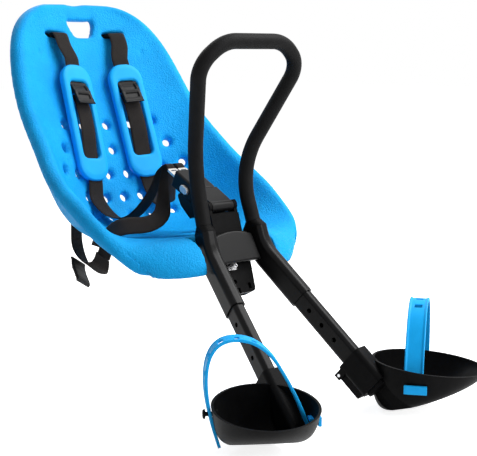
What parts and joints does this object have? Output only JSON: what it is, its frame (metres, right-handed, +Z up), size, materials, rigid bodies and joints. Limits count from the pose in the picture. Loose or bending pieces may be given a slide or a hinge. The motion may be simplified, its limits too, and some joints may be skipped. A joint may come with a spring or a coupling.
{
  "type": "front-mounted child bike seat",
  "caption": "Front-mounted child bike seat: vented foam bucket with padded harness, grab bar, adapter socket and sliding strapped footrests.",
  "frame": {"origin": "middle of the mouth of the socket that drops over the bicycle's adapter", "axes": "+Z up, -Y the riding direction, +X the child's left"},
  "size_m": [0.4114, 0.6374, 0.5149],
  "materials": {
    "shell_foam": "grainy moulded foam, bright blue",
    "pad_rubber": "smooth moulded foam, bright blue",
    "webbing": "black woven webbing",
    "strap_plastic": "black moulded plastic",
    "frame_plastic": "black moulded plastic, fine grain",
    "cover_plastic": "black plastic, satin",
    "steel": "bright steel",
    "grip_foam": "black foam rubber",
    "frame_metal": "black powder coat",
    "foot_rubber": "bright blue rubber"
  },
  "bodies": {
    "seat": {"seat_shell": "shell_foam", "shoulder_pad_left": "pad_rubber", "shoulder_pad_right": "pad_rubber", "shoulder_strap_left": "webbing", "shoulder_strap_right": "webbing", "harness_strap_left": "webbing", "harness_strap_right": "webbing", "lap_strap_left": "webbing", "lap_strap_right": "webbing", "strap_adjuster_left": "strap_plastic", "strap_adjuster_right": "strap_plastic", "strap_retainer_left": "strap_plastic", "strap_retainer_right": "strap_plastic", "lap_adjuster_left": "strap_plastic", "lap_adjuster_right": "strap_plastic", "buckle_body": "strap_plastic", "crotch_post": "strap_plastic", "console_body": "frame_plastic", "crotch_anchor": "frame_plastic", "grip_collar_left": "frame_plastic", "grip_collar_right": "frame_plastic", "leg_end_cap_left": "frame_plastic", "leg_end_cap_right": "frame_plastic", "console_cover": "cover_plastic", "anchor_pin": "steel", "latch_spring": "steel", "seat_bolts": "steel", "buckle_tongue_left": "steel", "buckle_tongue_right": "steel", "button_spring_left": "steel", "button_spring_right": "steel", "leg_bolt_left": "steel", "leg_bolt_right": "steel", "grab_bar_grip": "grip_foam", "grab_bar_tube": "frame_metal", "upper_leg_left": "frame_metal", "upper_leg_right": "frame_metal", "lower_leg_left": "frame_metal", "lower_leg_right": "frame_metal"},
    "footrest_left": {"footrest_cup_left": "frame_plastic", "footrest_strap_left": "foot_rubber", "strap_stud_left": "foot_rubber", "lever_pin_left": "steel", "lever_spring_left": "steel"},
    "lever_left": {"release_lever_left": "frame_plastic"},
    "button_left": {"buckle_button_left": "steel"},
    "footrest_right": {"footrest_cup_right": "frame_plastic", "footrest_strap_right": "foot_rubber", "strap_stud_right": "foot_rubber", "lever_pin_right": "steel", "lever_spring_right": "steel"},
    "lever_right": {"release_lever_right": "frame_plastic"},
    "button_right": {"buckle_button_right": "steel"},
    "latch": {"latch_bolt": "frame_plastic"}
  },
  "joints": [
    {"name": "footrest_left_height", "type": "slide", "parent": "seat", "child": "footrest_left", "axis": [-0.1503, 0.7384, 0.6574], "range_m": [0, 0.08]},
    {"name": "lever_left_swing", "type": "hinge", "parent": "footrest_left", "child": "lever_left", "pos_m": [0.07083, -0.12235, -0.09236], "axis": [0.9799, 0.1995, 0], "range_deg": [0, 12], "stiffness_Nm_per_rad": 0.5},
    {"name": "button_left_press", "type": "slide", "parent": "seat", "child": "button_left", "axis": [-1, 0, 0], "range_m": [0, 0.003], "stiffness_N_per_m": 400, "deforming": ["button_spring_left"]},
    {"name": "footrest_right_height", "type": "slide", "parent": "seat", "child": "footrest_right", "axis": [0.1503, 0.7384, 0.6574], "range_m": [0, 0.08]},
    {"name": "lever_right_swing", "type": "hinge", "parent": "footrest_right", "child": "lever_right", "pos_m": [-0.07083, -0.12235, -0.09236], "axis": [0.9799, -0.1995, 0], "range_deg": [0, 12], "stiffness_Nm_per_rad": 0.5},
    {"name": "button_right_press", "type": "slide", "parent": "seat", "child": "button_right", "axis": [1, 0, 0], "range_m": [0, 0.003], "stiffness_N_per_m": 400, "deforming": ["button_spring_right"]},
    {"name": "latch_slide", "type": "slide", "parent": "seat", "child": "latch", "axis": [0, -0.891, 0.454], "range_m": [0, 0.005], "stiffness_N_per_m": 300, "deforming": ["latch_spring"]}
  ]
}
